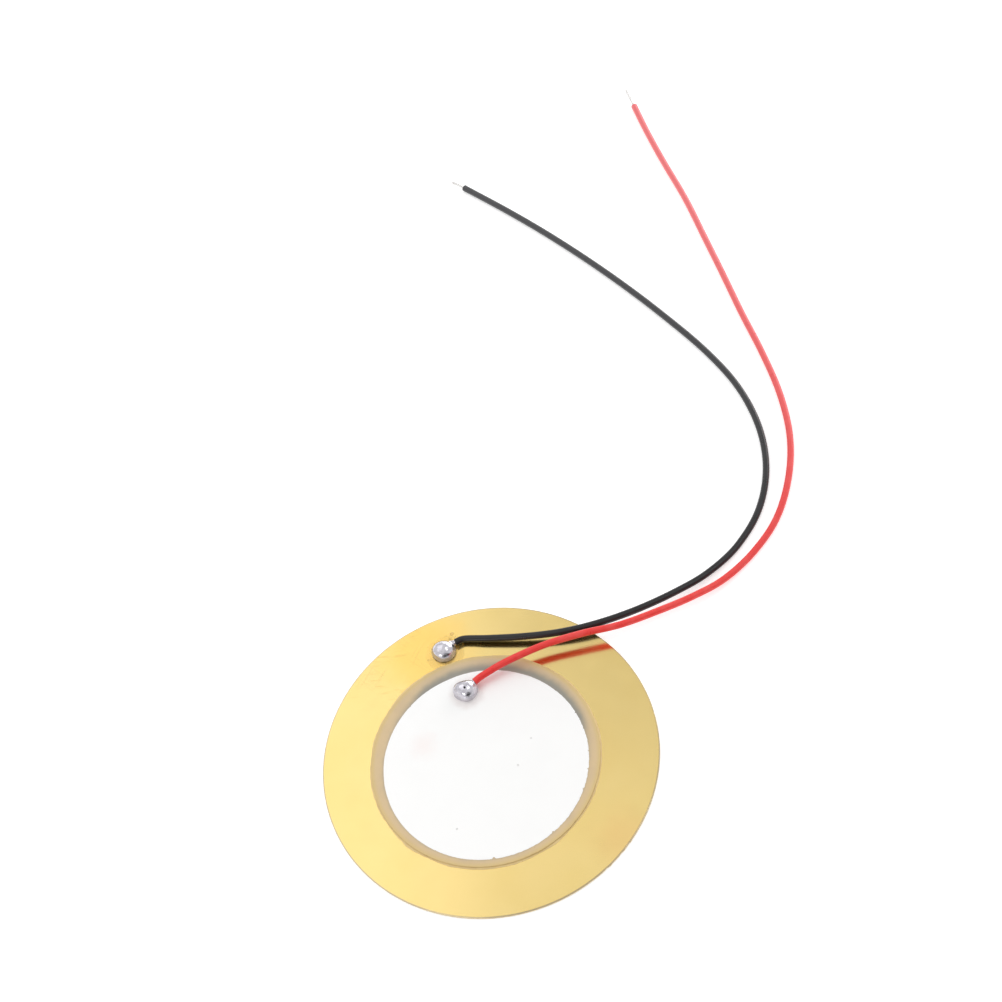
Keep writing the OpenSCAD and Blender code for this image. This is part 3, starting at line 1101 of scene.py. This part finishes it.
def solderFinish(bead, look):
    finish, tree, shader = newFinish(bead["name"] + "Solder")
    patch = useGroup(tree, fineGrain, Size=0.5, Detail=3.0, Low=0.42, High=0.66)
    tone = blendColour(tree, patch["Mask"], look["bright"], look["dull"])
    x, y, foot = bead["stand"]
    if bead["pinhole"]:
        centre = (x + bead["pinhole"][0], y + bead["pinhole"][1], 0.0)
        hole = patchAt(tree, (centre, look["holeRadius"]), Soft=0.05, Ragged=0.05, Ragged_Size=0.1)
        # painted shade inside the pinhole
        tone = blendColour(tree, hole["Mask"], tone, look["hole"])
    height = addNode(tree, "ShaderNodeSeparateXYZ", {0: millimetres(tree)}).outputs["Z"]
    height = calc(tree, "ADD", height, times(tree, patch["Height"], look["ragged"]))
    hazy, footShadeMask = (remap(tree, height, foot + look[band][0], foot + look[band][1], bead["haze"], 0.0)
                    for band in ("hazeBand", "footShadeBand"))
    tone = blendColour(tree, hazy, tone, look["hazed"])
    # painted shade at the foot of the joint
    tone = blendColour(tree, footShadeMask, tone, bead["footShade"])
    rough = calc(tree, "ADD", byLumps(tree, patch, look["rough"]), times(tree, hazy, look["hazeRough"]))
    metal = calc(tree, "SUBTRACT", 1.0, times(tree, hazy, look["hazeDull"]))
    crystal = useGroup(tree, fineGrain, Size=0.22, Detail=3.0)
    feed(tree, shader, Base_Color=tone, Metallic=metal, Roughness=rough,
         Normal=relief(tree, crystal["Height"], look["relief"]))
    return finish


fluxLook = {
    "amber": (0.98, 0.80, 0.36, 1),
    "deep": (0.96, 0.70, 0.20, 1),
    "spot": ((*plateBead["stand"][:2], 0.0), 2.1),
    "fades": (1.2, 2.3, 1.0, 0.4),  # from and to this distance, from and to this cover
    "thickness": (0.7, 1.15),
    "rough": (0.05, 0.16),
    "relief": 0.000006,
}


def fluxFinish(name, look, strength):
    finish, tree, shader = newFinish(name, IOR=1.52)
    cloud = useGroup(tree, fineGrain, Size=0.6, Detail=3.0, Low=0.35, High=0.7)
    tone = blendColour(tree, cloud["Mask"], look["amber"], look["deep"])
    edge = patchAt(tree, look["spot"], Soft=0.35, Ragged=0.7, Ragged_Size=0.6)
    cover = times(tree, remap(tree, edge["Distance"], *look["fades"]), strength)
    cover = calc(tree, "MULTIPLY", cover, byLumps(tree, cloud, look["thickness"]), clamp=True)
    rough = byLumps(tree, cloud, look["rough"])
    feed(tree, shader, Base_Color=tone, Roughness=rough, Alpha=cover,
         Normal=relief(tree, cloud["Height"], look["relief"]))
    return finish


wear(discPiece, brassFinish(brassLook))
wear(ceramicPiece, ceramicFinish(ceramicLook))
wear(gluePiece, glueFinish(glueLook))
wear(printPiece, silverFinish("firedSilverFront", silverLook, True))
wear(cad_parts["back_electrode"], silverFinish("firedSilverBack", silverLook, False))
for piece, bead in zip(beadPieces, (plateBead, printBead)):
    wear(piece, solderFinish(bead, solderLook))
for piece, name, strength in zip(fluxPieces, ("fluxSkin", "fluxDrop"), (0.12, 0.5)):
    wear(piece, fluxFinish(name, fluxLook, strength))
print("disc finishes are on")

# hidden CAD nodes get the same finishes, so none is left plain
hiddenFinishes = {
    "brass_plate": discPiece, "ceramic_disc": ceramicPiece, "adhesive_film": gluePiece, "front_electrode": printPiece,
    "plate_solder": beadPieces[0], "electrode_solder": beadPieces[1],
    "black_insulation": leadPieces["blackLead"][0], "red_insulation": leadPieces["redLead"][0],
    "black_conductor": leadPieces["blackLead"][1], "red_conductor": leadPieces["redLead"][1],
}
for node, piece in hiddenFinishes.items():
    wear(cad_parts[node], piece.data.materials[0])

# bench and light

bench = {
    "size": 5.0,
    "gap": 0.00002,
    "colour": (0.93, 0.93, 0.93, 1),
    "fibre": (0.9207, 0.9207, 0.9207, 1),
    "glow": 0.42,
}
air = {"level": 0.76, "darkTowards": (0.45, -0.88, 0.05), "darkLevel": 0.08, "darkBand": (0.70, 0.90)}
lamps = [
    # name, place, aim, width, height, radiance
    ("backPanel", (-0.33, 0.25, 0.58), (0.0, 0.25, 0.0), 0.80, 0.50, 0.55),
    ("warmFill", (-0.045, 0.27, 0.66), (0.0, 0.0, 0.0), 0.09, 0.08, 0.27),
    ("keyPanel", (-0.26, -0.55, 0.25), (0.0, 0.02, 0.0), 0.30, 0.20, 2.2),
    ("topPanel", (0.31, 0.06, 0.50), (0.0, 0.02, 0.0), 0.13, 0.13, 3.0),
    ("horizonPanel", (0.20, 0.70, 0.11), (0.0, 0.03, 0.0), 0.60, 0.16, 1.8),
    ("lowPanel", (0.40, 0.50, 0.20), (0.0, 0.03, 0.0), 0.40, 0.26, 3.0),
]


def makeBench(settings):
    bm = bmesh.new()
    bmesh.ops.create_grid(bm, x_segments=8, y_segments=8, size=settings["size"] / mm / 2)
    floor = meshPiece("benchTop", bm)
    floor.location.z = -settings["gap"]
    finish, tree, shader = newFinish("whitePaper", Roughness=0.8, Emission_Strength=settings["glow"])
    shader.inputs["Emission Color"].default_value = (1, 1, 1, 1)
    fibre = useGroup(tree, fineGrain, Size=0.4, Detail=4.0)
    tone = blendColour(tree, fibre["Mask"], settings["colour"], settings["fibre"])
    feed(tree, shader, Base_Color=tone)
    wear(floor, finish)


def makeLamps(settings):
    for name, place, aim, width, height, radiance in settings:
        data = bpy.data.lights.new(name, "AREA")
        data.shape, data.size, data.size_y = "RECTANGLE", width, height
        data.energy = radiance * math.pi * width * height
        lamp = bpy.data.objects.new(name, data)
        look = (Vector(aim) - Vector(place)).to_track_quat("-Z", "Y").to_matrix().to_4x4()
        lamp.matrix_world = Matrix.Translation(place) @ look
        scene.collection.objects.link(lamp)


def makeAir(settings):
    # even light from all round, with one darker side for the metal to reflect
    world = bpy.data.worlds.new("studioAir")
    world.use_nodes = True
    tree = world.node_tree
    heading = addNode(tree, "ShaderNodeTexCoord").outputs["Generated"]
    dark = Vector(settings["darkTowards"]).normalized()
    near = addNode(tree, "ShaderNodeVectorMath", {0: heading, 1: dark}, operation="DOT_PRODUCT").outputs["Value"]
    level = remap(tree, near, *settings["darkBand"], settings["level"], settings["darkLevel"])
    tree.links.new(level, tree.nodes["Background"].inputs["Strength"])
    tree.nodes["Background"].inputs["Color"].default_value = (1.0, 1.0, 1.0, 1)
    scene.world = world


makeBench(bench)
makeLamps(lamps)
makeAir(air)
print("bench and lamps are set")
